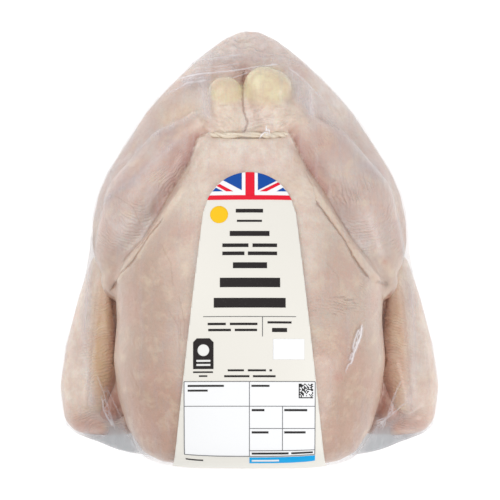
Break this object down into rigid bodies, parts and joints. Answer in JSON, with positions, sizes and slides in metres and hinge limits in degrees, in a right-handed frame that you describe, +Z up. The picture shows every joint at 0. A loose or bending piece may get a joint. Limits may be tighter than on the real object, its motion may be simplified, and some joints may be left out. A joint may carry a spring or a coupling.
{
  "type": "whole raw chicken in shrink film",
  "caption": "Whole raw chicken lying on its back with its legs tied, sealed in tight clear shrink film, with a paper label over the breast.",
  "frame": {"origin": "middle of the pack's length and width, at the flat underside that it rests on", "axes": "+Z up through the breast, +Y towards the tail, +X to the right when the tail is away from the viewer"},
  "size_m": [0.211, 0.2417, 0.1148],
  "materials": {
    "film": "clear shrink film drawn tight over pale raw skin, glossy, milky where it bridges a hollow",
    "label": "cream coated paper with plain printed shapes, soft sheen"
  },
  "bodies": {
    "root": {"film_bag": "film", "label": "label"}
  },
  "joints": []
}
